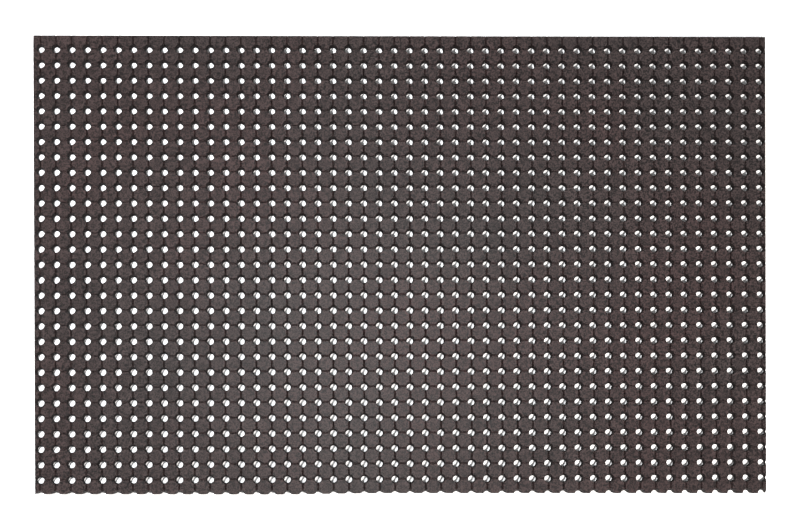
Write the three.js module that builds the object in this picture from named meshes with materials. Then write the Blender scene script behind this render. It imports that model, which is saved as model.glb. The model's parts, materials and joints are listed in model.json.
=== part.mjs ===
// Rubber drainage door mat, 800 x 500 x 8 mm, lying flat with its tread up.
//
// The mat is one moulded sheet of rubber, cut to size by hand. A square grid of V grooves divides
// its tread into small tiles, and it bends along those grooves. Here it is divided along the
// grooves that run from front to back, into tread strips that hinge on each other at the middle of
// the thin rubber web under each groove, so that the mat can fold and roll up.
//
// Millimetres. +X runs along the mat, +Y to its back edge and +Z up out of the tread. The origin
// is the middle of the underside.

import * as THREE from 'three';

// Driving dimensions
const matLength = 800; // along X, at the back edge
const matWidth = 500; // along Y, between the back edge and the furthest point of the front edge
const matThickness = 8;
const tilePitch = 16.73; // from one groove to the next
const firstTileWidth = 7.9; // the left edge was cut through a column of tiles
const grooveWidth = 2.5; // across the open top of a groove
const webThickness = 6.5; // rubber left under a groove
const segmentGap = 0.3; // between neighbouring strips at their hinge line
const narrowestEdgeTile = 2; // the least width of tread kept on the strip at the right edge

// The side edges weren't cut square: from the back to the front, each comes in by this much.
const leftTaper = 2.8;
const rightTaper = 1.7;

// The front edge was cut in three strokes, which meet at these places. Each gives how far along the
// mat it is, as a share of its length from the left end, and how far the edge is cut back there.
const frontStrokes = [
  { along: 0, trim: 2.2 },
  { along: 0.34, trim: 0.6 },
  { along: 0.46, trim: 1.8 },
  { along: 1, trim: 0 },
];

const matLeft = -matLength / 2;
const matRight = matLength / 2;
const matBack = matWidth / 2;
const hingeHeight = webThickness / 2;
// A groove nearer to the right edge than this is left out.
const narrowestStrip = grooveWidth / 2 + narrowestEdgeTile + rightTaper;

/** X of each groove that runs from front to back, from left to right. */
function grooveLines() {
  const lines = [];
  for (let x = matLeft + firstTileWidth; x <= matRight - narrowestStrip; x += tilePitch) {
    lines.push(x);
  }
  return lines;
}

/** How far the front edge is cut back at x. */
function frontTrimAt(x) {
  const along = (x - matLeft) / matLength;
  const next = frontStrokes.findIndex((stroke) => stroke.along >= along);
  const from = frontStrokes[Math.max(next - 1, 0)];
  const to = frontStrokes[Math.max(next, 1)];
  return THREE.MathUtils.mapLinear(along, from.along, to.along, from.trim, to.trim);
}

/**
 * A strip's section in X and Z, from x = 0 to x = width. A side on a groove stands upright up to
 * the hinge line, and leans back above it to half the groove's width, which leaves the room that
 * the strips need to fold towards each other. A side on the mat's own edge is upright.
 */
function stripSection(width, grooveOnLeft, grooveOnRight) {
  const footInset = segmentGap / 2;
  const topInset = grooveWidth / 2;
  const section = new THREE.Shape();
  if (grooveOnLeft) {
    section.moveTo(topInset, matThickness);
    section.lineTo(footInset, hingeHeight);
    section.lineTo(footInset, 0);
  } else {
    section.moveTo(0, matThickness);
    section.lineTo(0, 0);
  }
  if (grooveOnRight) {
    section.lineTo(width - footInset, 0);
    section.lineTo(width - footInset, hingeHeight);
    section.lineTo(width - topInset, matThickness);
  } else {
    section.lineTo(width, 0);
    section.lineTo(width, matThickness);
  }
  section.closePath();
  return section;
}

/** Moves the side at x = side inwards along the strip: by nothing at the back, by taper in front. */
function taperSide(geometry, side, taper) {
  const position = geometry.attributes.position;
  for (let i = 0; i < position.count; i += 1) {
    if (Math.abs(position.getX(i) - side) < segmentGap / 2) {
      const shareFromBack = -position.getY(i) / matWidth;
      position.setX(i, side + taper * shareFromBack);
    }
  }
}

/** One tread strip between x = left and x = right, from the back edge to the front edge. */
function treadStrip(name, left, right, material) {
  const onLeftEdge = left === matLeft;
  const onRightEdge = right === matRight;
  const width = right - left;
  const section = stripSection(width, !onLeftEdge, !onRightEdge);
  const length = matWidth - frontTrimAt((left + right) / 2);
  const geometry = new THREE.ExtrudeGeometry(section, { depth: length, bevelEnabled: false });
  geometry.rotateX(Math.PI / 2); // the section stands up, and its length runs to the front
  if (onLeftEdge) {
    taperSide(geometry, 0, leftTaper);
  }
  if (onRightEdge) {
    taperSide(geometry, width, -rightTaper);
  }
  const strip = new THREE.Mesh(geometry, material);
  strip.name = name;
  strip.position.set(left, matBack, 0);
  return strip;
}

function rubber() {
  return new THREE.MeshStandardMaterial({ color: 0x45403e, roughness: 0.85, metalness: 0 });
}

function doorMat() {
  const mat = new THREE.Group();
  mat.name = 'door_mat';
  const edges = [matLeft, ...grooveLines(), matRight];
  for (let i = 1; i < edges.length; i += 1) {
    const number = String(i).padStart(2, '0');
    mat.add(treadStrip(`tread_strip_${number}`, edges[i - 1], edges[i], rubber()));
  }
  return mat;
}

export default doorMat();
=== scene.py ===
"""Rubber drainage door mat, seen from above on a white studio floor.

Each CAD tread strip is replaced by a detailed solid of its own: tiles with bevelled edges, V grooves
both ways, round drain holes at the crossings, a shallower copy of all that on the underside, a
little further to the front, and edges cut by hand through the holes. A strip carries the thin web on
its right.
"""
import json
import math
from collections import namedtuple

import bmesh
import bpy
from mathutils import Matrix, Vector

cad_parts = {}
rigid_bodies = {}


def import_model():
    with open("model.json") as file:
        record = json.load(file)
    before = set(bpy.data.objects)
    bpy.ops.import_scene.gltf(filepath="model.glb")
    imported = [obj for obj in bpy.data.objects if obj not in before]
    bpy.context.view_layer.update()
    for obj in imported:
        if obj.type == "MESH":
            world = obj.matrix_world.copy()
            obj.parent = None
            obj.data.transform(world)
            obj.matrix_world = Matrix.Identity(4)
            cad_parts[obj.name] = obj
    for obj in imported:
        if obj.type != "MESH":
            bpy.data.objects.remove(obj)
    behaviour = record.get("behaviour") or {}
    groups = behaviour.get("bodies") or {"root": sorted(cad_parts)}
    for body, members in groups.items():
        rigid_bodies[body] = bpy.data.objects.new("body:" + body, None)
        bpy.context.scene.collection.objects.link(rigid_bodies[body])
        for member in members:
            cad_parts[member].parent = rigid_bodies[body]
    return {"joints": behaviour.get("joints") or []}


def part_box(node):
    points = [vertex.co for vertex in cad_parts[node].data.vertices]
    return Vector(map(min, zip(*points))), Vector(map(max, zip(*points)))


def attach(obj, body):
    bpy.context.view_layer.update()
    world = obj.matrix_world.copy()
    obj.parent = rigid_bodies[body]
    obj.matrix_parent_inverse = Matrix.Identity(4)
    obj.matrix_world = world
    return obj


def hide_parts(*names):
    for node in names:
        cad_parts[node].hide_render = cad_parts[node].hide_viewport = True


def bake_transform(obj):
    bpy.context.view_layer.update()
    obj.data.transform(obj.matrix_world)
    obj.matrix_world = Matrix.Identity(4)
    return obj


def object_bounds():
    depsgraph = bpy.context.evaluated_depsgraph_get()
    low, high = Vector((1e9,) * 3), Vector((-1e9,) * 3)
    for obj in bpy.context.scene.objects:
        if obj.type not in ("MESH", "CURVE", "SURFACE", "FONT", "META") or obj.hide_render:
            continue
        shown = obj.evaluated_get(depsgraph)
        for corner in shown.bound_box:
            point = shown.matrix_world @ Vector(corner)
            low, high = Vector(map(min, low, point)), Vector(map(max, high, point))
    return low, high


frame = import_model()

MM = 0.001
cad_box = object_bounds()
(mat_left, mat_front, mat_bottom), (mat_right, mat_back, mat_top) = cad_box

# The sheet's own pattern
HOLE_RADIUS = 4.7 * MM  # at the tread
UNDER_HOLE_RADIUS = 3.45 * MM  # at the underside, because the moulding pins taper
UNDER_SHIFT = 1.3 * MM  # how much further to the front the underside's pattern lies
GROOVE_HALF = 0.95 * MM  # half the open width of a groove
GROOVE_DEPTH = 1.5 * MM  # of the grooves that run from front to back
ROW_GROOVE_DEPTH = 0.9 * MM  # of those that run along the mat
UNDER_GROOVE_DEPTH = 0.8 * MM
BEVEL = 0.3 * MM  # along the edges of tiles and holes
BACK_MARGIN = 14.1 * MM  # from the back edge to the first row of holes
RIM_STEPS = 2  # straight pieces of a hole's rim across half a groove
ARC_STEPS = 4  # and along one tile's corner
SPARE = 6 * MM  # left past an edge before the edge is cut
CUT_TOLERANCE = 1e-7

# The camera looks almost straight down, from a little to the left of the middle and to the front.
CAMERA_PLACE = (-0.0841, -0.0765, 1.6)
CAMERA_TURN = (0.851, -1.084, -0.099)  # degrees about X, Y and Z
CAMERA_SHIFT = (0.06, 0.06)
LENS = 65.85  # millimetres, on a sensor 36 mm wide

# The studio. Two small lamps from opposite sides cast the slanting shadows in the holes, and a
# larger one overhead gives the middle of the tread its sheen.
COOL_LIGHT = (0.98, 1.0, 1.02)
WARM_LIGHT = (1.04, 0.99, 0.95)
WHITE_LIGHT = (1.0, 1.0, 1.0)
KEY_LAMP_SIZE = 0.05
SHEEN_LAMP_SIZE = 0.4
SKY_STRENGTH = 0.6
FLOOR_SIZE = 40
FLOOR_COLOUR = (0.9, 0.9, 0.9, 1)
FLOOR_ROUGHNESS = 0.9
FLOOR_GLOSS = 0.1

# The rubber. A scale is in features to the metre. A range is of noise, which is 0.5 on average, and
# is where a colour goes from its one end to the other.
RUBBER = (0.0160, 0.0110, 0.0107)  # warm black
WARM_SHIFT = 1.12  # how much redder it gets at most
COOL_SHIFT = 1.08  # how much greener and bluer it gets at most
DRIFT_SCALE = 5.0
DRIFT_DETAIL = 2.0
DRIFT_RANGE = (0.35, 0.65)
BLOTCH_SCALE = 45.0
BLOTCH_DETAIL = 4.0
BLOTCH_RANGE = (0.3, 0.7)
BLOTCH_CONTRAST = 0.14
GRAIN_SCALE = 800.0
GRAIN_DETAIL = 3.0
GRAIN_RANGE = (0.43, 0.57)
GRAIN_CONTRAST = 0.9
GRAIN_BUMP = 0.4
GRAIN_HEIGHT = 0.15 * MM
DUST_SCALE = 420.0
DUST_DETAIL = 1.0
DUST_RANGE = (0.66, 0.72)
DUST_PALENESS = 4  # times as pale as the rubber
ROUGHNESS_RANGE = 0.1
SHEEN = 0.3

# The rubber's finishes, one for each material slot of a strip: the share of the rubber's colour,
# the roughness, and how dense the specks of dust are, from 0 to 1. A share below 1 is painted
# shade, and a share above 1 is a painted highlight.
Finish = namedtuple("Finish", "name share roughness dust")
FINISHES = (
    Finish("rubber_tread", 1, 0.38, 0.25),
    # the lips' share above 1 is a painted highlight along the edges of tiles and holes, not wear
    Finish("rubber_worn_lip", 1.15, 0.36, 0.1),
    # the grooves' share below 1 is painted shade in the recess; their denser specks are dust
    Finish("rubber_groove", 0.85, 0.55, 0.5),
    # the hole walls' share of 0.45 is painted shade inside the holes
    Finish("rubber_hole_wall", 0.45, 0.8, 0.1),
    # the cut faces' share below 1 is painted shade on the upright edge
    Finish("rubber_cut_edge", 0.9, 0.75, 0.15),
)

TILE, LIP, GROOVE, WALL, CUT = range(len(FINISHES))

hinges = sorted(frame["joints"], key=lambda joint: joint["pos_m"][0])
grooves = [joint["pos_m"][0] for joint in hinges]
pitch = (grooves[-1] - grooves[0]) / (len(grooves) - 1)
first_row = mat_back - BACK_MARGIN
row_count = math.ceil((first_row - mat_front) / pitch) + 1
strip_nodes = [f"tread_strip_{number:02d}" for number in range(1, len(grooves) + 2)]

# One side of the sheet: the heights of its tiles, of the foot of their bevels, of its grooves from
# front to back and of those along the mat, and the radius of its holes
Side = namedtuple("Side", "tile lip floor row_floor hole")
tread = Side(mat_top, mat_top - BEVEL, mat_top - GROOVE_DEPTH, mat_top - ROW_GROOVE_DEPTH,
             HOLE_RADIUS)
underside = Side(mat_bottom, mat_bottom + BEVEL, mat_bottom + UNDER_GROOVE_DEPTH,
                 mat_bottom + UNDER_GROOVE_DEPTH, UNDER_HOLE_RADIUS)


# ---------------------------------------------------------------- the mesh of one strip


def corner_outline(radius, inset, reach_x, reach_y):
    """A tile's edge in the quarter round one hole at the origin: along the groove on X, round the
    hole and along the groove on Y. inset is how far the tile's edge is from a groove's middle."""
    start = math.asin(inset / radius)
    end = math.pi / 2 - start
    points = [(reach_x, inset)]
    for step in range(ARC_STEPS + 1):
        angle = start + (end - start) * step / ARC_STEPS
        points.append((radius * math.cos(angle), radius * math.sin(angle)))
    points.append((inset, reach_y))
    return points


def groove_rim(side, floor):
    """The hole's rim across a groove on X, from the groove's middle, at floor, to the tile's
    corner."""
    reach = math.asin(GROOVE_HALF / side.hole)
    points = []
    for step in range(RIM_STEPS + 1):
        angle = reach * step / RIM_STEPS
        x, y = side.hole * math.cos(angle), side.hole * math.sin(angle)
        points.append((x, y, floor + (side.lip - floor) * y / GROOVE_HALF))
    return points


def quarter_side(side, reach_x, reach_y):
    """One side of the sheet in the quarter round a hole, as (tile faces, web faces, rim). A face
    is (material, points). The web faces are those over the groove on Y."""
    edge = corner_outline(side.hole, GROOVE_HALF, reach_x, reach_y)
    top = corner_outline(side.hole + BEVEL, GROOVE_HALF + BEVEL, reach_x, reach_y)
    low_edge = [(x, y, side.lip) for x, y in edge]
    high_edge = [(x, y, side.tile) for x, y in top]
    across_x = groove_rim(side, side.row_floor)
    across_y = [(y, x, z) for x, y, z in reversed(groove_rim(side, side.floor))]
    faces = [(TILE, high_edge + [(reach_x, reach_y, side.tile)])]
    for i in range(len(edge) - 1):
        faces.append((LIP, [low_edge[i], low_edge[i + 1], high_edge[i + 1], high_edge[i]]))
    faces.append((GROOVE, [(reach_x, 0, side.row_floor), low_edge[0]] + across_x[::-1]))
    web = [(GROOVE, [(0, reach_y, side.floor), low_edge[-1]] + across_y)]
    rim = across_x[:-1] + low_edge[1:-1] + across_y[1:]
    return faces, web, rim


def quarter(reach_x, reach_y):
    """The sheet in the quarter round a hole, both sides and the hole's wall between them."""
    faces, web, upper = quarter_side(tread, reach_x, reach_y)
    under_faces, under_web, lower = quarter_side(underside, reach_x, reach_y)
    faces += under_faces
    web += under_web
    for i in range(len(upper) - 1):
        wall = (WALL, [upper[i], upper[i + 1], lower[i + 1], lower[i]])
        over_web = i >= len(upper) - 1 - RIM_STEPS
        (web if over_web else faces).append(wall)
    return faces, web


def place(target, faces, x, y, turn_x, turn_y):
    """Adds a quarter's faces to target round the hole at x, y, mirrored by turn_x and turn_y, and
    leaning to the front from the tread down."""
    for material, points in faces:
        moved = []
        for px, py, pz in points:
            lean = UNDER_SHIFT * (mat_top - pz) / (mat_top - mat_bottom)
            moved.append((x + turn_x * px, y + turn_y * py - lean, pz))
        target.append((material, moved))


def strip_faces(index):
    """Every face of a strip but its ends: from the right flank of the groove on its left to the
    right flank of the groove on its right."""
    faces = []
    half = pitch / 2
    on_left = grooves[index - 1] if index > 0 else None
    on_right = grooves[index] if index < len(grooves) else None
    left_reach = half if on_left is not None else on_right - mat_left + SPARE
    right_reach = half if on_right is not None else mat_right - on_left + SPARE
    for row in range(row_count):
        y = first_row - row * pitch
        for turn_y in (1, -1):
            reach_y = BACK_MARGIN + SPARE if row == 0 and turn_y == 1 else half
            if on_left is not None:
                place(faces, quarter(right_reach, reach_y)[0], on_left, y, 1, turn_y)
            if on_right is not None:
                tile, web = quarter(left_reach, reach_y)
                place(faces, tile + web, on_right, y, -1, turn_y)
                place(faces, web, on_right, y, 1, turn_y)
    return faces


def close_openings(shell, material):
    """Fills every open loop of the shell with one flat face."""
    borders = [edge for edge in shell.edges if edge.is_boundary]
    filled = bmesh.ops.holes_fill(shell, edges=borders, sides=0)["faces"]
    for face in filled:
        face.material_index = material


def cut_edge(shell, start, end, material=CUT):
    """Cuts the shell along the upright plane through start and end, both (x, y), and keeps what is
    on the left of the way from start to end. The cut face is closed with material."""
    along = Vector((end[0] - start[0], end[1] - start[1], 0))
    outwards = Vector((along.y, -along.x, 0)).normalized()
    everything = shell.verts[:] + shell.edges[:] + shell.faces[:]
    bmesh.ops.bisect_plane(
        shell, geom=everything, dist=CUT_TOLERANCE, plane_co=(start[0], start[1], 0),
        plane_no=outwards, clear_outer=True)
    close_openings(shell, material)


def front_corners():
    """Where the front edge crosses each strip's left and right side, from the CAD strips' ends."""
    middles, fronts = [], []
    for name in strip_nodes:
        low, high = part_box(name)
        middles.append((low[0] + high[0]) / 2)
        fronts.append(low[1])
    sides = [mat_left] + [x + GROOVE_HALF for x in grooves] + [mat_right]
    return [(x, line_through(middles, fronts, x)) for x in sides]


def line_through(xs, ys, x):
    """The value at x of the broken line through the points, carried on past its ends."""
    i = 1
    while i < len(xs) - 1 and x > xs[i]:
        i += 1
    share = (x - xs[i - 1]) / (xs[i] - xs[i - 1])
    return ys[i - 1] + share * (ys[i] - ys[i - 1])


def side_inset(name, side):
    """How far a tapered strip's outer side comes in at the front, from the CAD mesh. side is 1 for
    the mat's right edge and -1 for its left one."""
    mesh = bpy.data.objects[name].data
    outer = [v.co.x for v in mesh.vertices if v.co.y < 0 and v.co.x * side > 0]
    reach = mat_right if side > 0 else mat_left
    furthest = max(outer) if side > 0 else min(outer)
    return furthest - reach


def strip_mesh(index, corners):
    """The closed mesh of one strip, with its outer edges cut."""
    shell = bmesh.new()
    corner_at = {}
    for material, points in strip_faces(index):
        verts = []
        for point in points:
            key = tuple(round(value / MM, 3) for value in point)
            if key not in corner_at:
                corner_at[key] = shell.verts.new(point)
            if corner_at[key] not in verts:
                verts.append(corner_at[key])
        shell.faces.new(verts).material_index = material
    close_openings(shell, TILE)
    cut_edge(shell, (mat_right, mat_back), (mat_left, mat_back), TILE)
    cut_edge(shell, corners[index], corners[index + 1])
    if index == 0:
        front_x = mat_left + side_inset(strip_nodes[0], -1)
        cut_edge(shell, (mat_left, mat_back), (front_x, mat_front))
    if index == len(grooves):
        front_x = mat_right + side_inset(strip_nodes[-1], 1)
        cut_edge(shell, (front_x, mat_front), (mat_right, mat_back))
    bmesh.ops.recalc_face_normals(shell, faces=shell.faces)
    mesh = bpy.data.meshes.new(f"{strip_nodes[index]}_rubber")
    shell.to_mesh(mesh)
    shell.free()
    return mesh


# ---------------------------------------------------------------- materials


def node(tree, kind, **values):
    """A new node. Each value sets the input of that name, or else the node's own setting."""
    made = tree.nodes.new(kind)
    for name, value in values.items():
        if name in made.inputs:
            made.inputs[name].default_value = value
        else:
            setattr(made, name, value)
    return made


def noise(tree, spot, scale, detail):
    """Noise with scale features to the metre, as a grey value round 0.5."""
    made = node(tree, "ShaderNodeTexNoise", Scale=scale, Detail=detail)
    tree.links.new(spot, made.inputs["Vector"])
    return made.outputs["Fac"]


def ramp(tree, value, positions, colours):
    """Goes from the first colour to the second as value goes from one position to the other."""
    made = node(tree, "ShaderNodeValToRGB")
    for stop, position, colour in zip(made.color_ramp.elements, positions, colours):
        stop.position = position
        stop.color = (*colour, 1)
    tree.links.new(value, made.inputs["Fac"])
    return made.outputs["Color"]


def mixed(tree, kind, share, first, second):
    """Mixes two colours. share is a number, or the socket that it comes from."""
    mix = node(tree, "ShaderNodeMix", data_type="RGBA", blend_type=kind)
    if isinstance(share, float):
        mix.inputs["Factor"].default_value = share
    else:
        tree.links.new(share, mix.inputs["Factor"])
    tree.links.new(first, mix.inputs["A"])
    tree.links.new(second, mix.inputs["B"])
    return mix.outputs["Result"]


def grey(level):
    return (level, level, level)


def greys_round_one(contrast):
    return grey(1 - contrast), grey(1 + contrast)


def scaled(colour, share):
    return tuple(channel * share for channel in colour)


def rubber_material(finish):
    """Matte moulded rubber. Its brown-black drifts from warm to cool across the mat, with faint
    blotches, a fine moulded grain and specks of dust."""
    # finish.share paints shade into the grooves, hole walls and cut edges and a highlight onto the
    # lips
    tint = scaled(RUBBER, finish.share)
    material = bpy.data.materials.new(finish.name)
    material.use_nodes = True
    tree = material.node_tree
    shader = tree.nodes["Principled BSDF"]
    spot = node(tree, "ShaderNodeTexCoord").outputs["Object"]

    warm = (tint[0] * WARM_SHIFT, tint[1], tint[2])
    cool = (tint[0], tint[1] * COOL_SHIFT, tint[2] * COOL_SHIFT)
    drift = noise(tree, spot, DRIFT_SCALE, DRIFT_DETAIL)
    base = ramp(tree, drift, DRIFT_RANGE, (cool, warm))
    clouds = noise(tree, spot, BLOTCH_SCALE, BLOTCH_DETAIL)
    blotches = ramp(tree, clouds, BLOTCH_RANGE, greys_round_one(BLOTCH_CONTRAST))
    base = mixed(tree, "MULTIPLY", 1.0, base, blotches)
    grain = noise(tree, spot, GRAIN_SCALE, GRAIN_DETAIL)
    speckle = ramp(tree, grain, GRAIN_RANGE, greys_round_one(GRAIN_CONTRAST))
    base = mixed(tree, "MULTIPLY", 1.0, base, speckle)

    flecks = noise(tree, spot, DUST_SCALE, DUST_DETAIL)
    dusty = ramp(tree, flecks, DUST_RANGE, (grey(0), grey(finish.dust)))
    pale = node(tree, "ShaderNodeRGB").outputs["Color"]
    pale.default_value = (*scaled(tint, DUST_PALENESS), 1)
    base = mixed(tree, "MIX", dusty, base, pale)
    tree.links.new(base, shader.inputs["Base Color"])

    gloss = node(tree, "ShaderNodeMapRange")
    gloss.inputs["To Min"].default_value = finish.roughness - ROUGHNESS_RANGE
    gloss.inputs["To Max"].default_value = finish.roughness + ROUGHNESS_RANGE
    tree.links.new(grain, gloss.inputs["Value"])
    tree.links.new(gloss.outputs["Result"], shader.inputs["Roughness"])
    shader.inputs["Specular IOR Level"].default_value = SHEEN
    bump = node(tree, "ShaderNodeBump", Strength=GRAIN_BUMP, Distance=GRAIN_HEIGHT)
    tree.links.new(grain, bump.inputs["Height"])
    tree.links.new(bump.outputs["Normal"], shader.inputs["Normal"])
    return material


def floor_material():
    material = bpy.data.materials.new("studio_floor")
    material.use_nodes = True
    shader = material.node_tree.nodes["Principled BSDF"]
    shader.inputs["Base Color"].default_value = FLOOR_COLOUR
    shader.inputs["Roughness"].default_value = FLOOR_ROUGHNESS
    shader.inputs["Specular IOR Level"].default_value = FLOOR_GLOSS
    return material


# ---------------------------------------------------------------- the mat


def build_mat():
    materials = [rubber_material(finish) for finish in FINISHES]
    corners = front_corners()
    for index, name in enumerate(strip_nodes):
        mesh = strip_mesh(index, corners)
        for material in materials:
            mesh.materials.append(material)
        strip = bpy.data.objects.new(f"{name}_rubber", mesh)
        bpy.context.scene.collection.objects.link(strip)
        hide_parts(name)
        if index < len(grooves):
            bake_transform(strip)
        else:
            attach(strip, hinges[-1]["child"])


# ---------------------------------------------------------------- studio


def add_floor():
    bpy.ops.mesh.primitive_plane_add(size=FLOOR_SIZE, location=(0, 0, mat_bottom))
    floor = bpy.context.object
    floor.name = "studio_floor"
    floor.data.materials.append(floor_material())


def add_light(name, place_at, watts, size, colour, only_sheen=False):
    """A round lamp that faces the middle of the mat. It lights surfaces without showing in their
    gloss, or with only_sheen shows only there."""
    lamp = bpy.data.lights.new(name, "AREA")
    lamp.shape = "DISK"
    lamp.size = size
    lamp.energy = watts
    lamp.color = colour
    lamp_object = bpy.data.objects.new(name, lamp)
    lamp_object.location = place_at
    lamp_object.rotation_euler = Vector(place_at).to_track_quat("Z", "Y").to_euler()
    lamp_object.visible_camera = False
    lamp_object.visible_glossy = only_sheen
    lamp_object.visible_diffuse = not only_sheen
    bpy.context.scene.collection.objects.link(lamp_object)


def add_camera():
    camera = bpy.data.cameras.new("camera")
    camera.lens = LENS
    camera.shift_x, camera.shift_y = CAMERA_SHIFT
    camera_object = bpy.data.objects.new("camera", camera)
    camera_object.location = CAMERA_PLACE
    camera_object.rotation_euler = [math.radians(angle) for angle in CAMERA_TURN]
    bpy.context.scene.collection.objects.link(camera_object)
    bpy.context.scene.camera = camera_object


def add_studio():
    add_floor()
    add_light("light_back_left", (-0.72, 0.24, 1.09), 27, KEY_LAMP_SIZE, COOL_LIGHT)
    add_light("light_front_right", (0.75, -0.5, 1.28), 33, KEY_LAMP_SIZE, WARM_LIGHT)
    add_light("light_overhead", (0.0, -0.13, 2.3), 11, SHEEN_LAMP_SIZE, WHITE_LIGHT, only_sheen=True)
    world = bpy.data.worlds.new("studio")
    world.use_nodes = True
    sky = world.node_tree.nodes["Background"]
    sky.inputs["Color"].default_value = (1, 1, 1, 1)
    sky.inputs["Strength"].default_value = SKY_STRENGTH
    bpy.context.scene.world = world
    bpy.context.scene.view_settings.view_transform = "Standard"


add_camera()
build_mat()
add_studio()
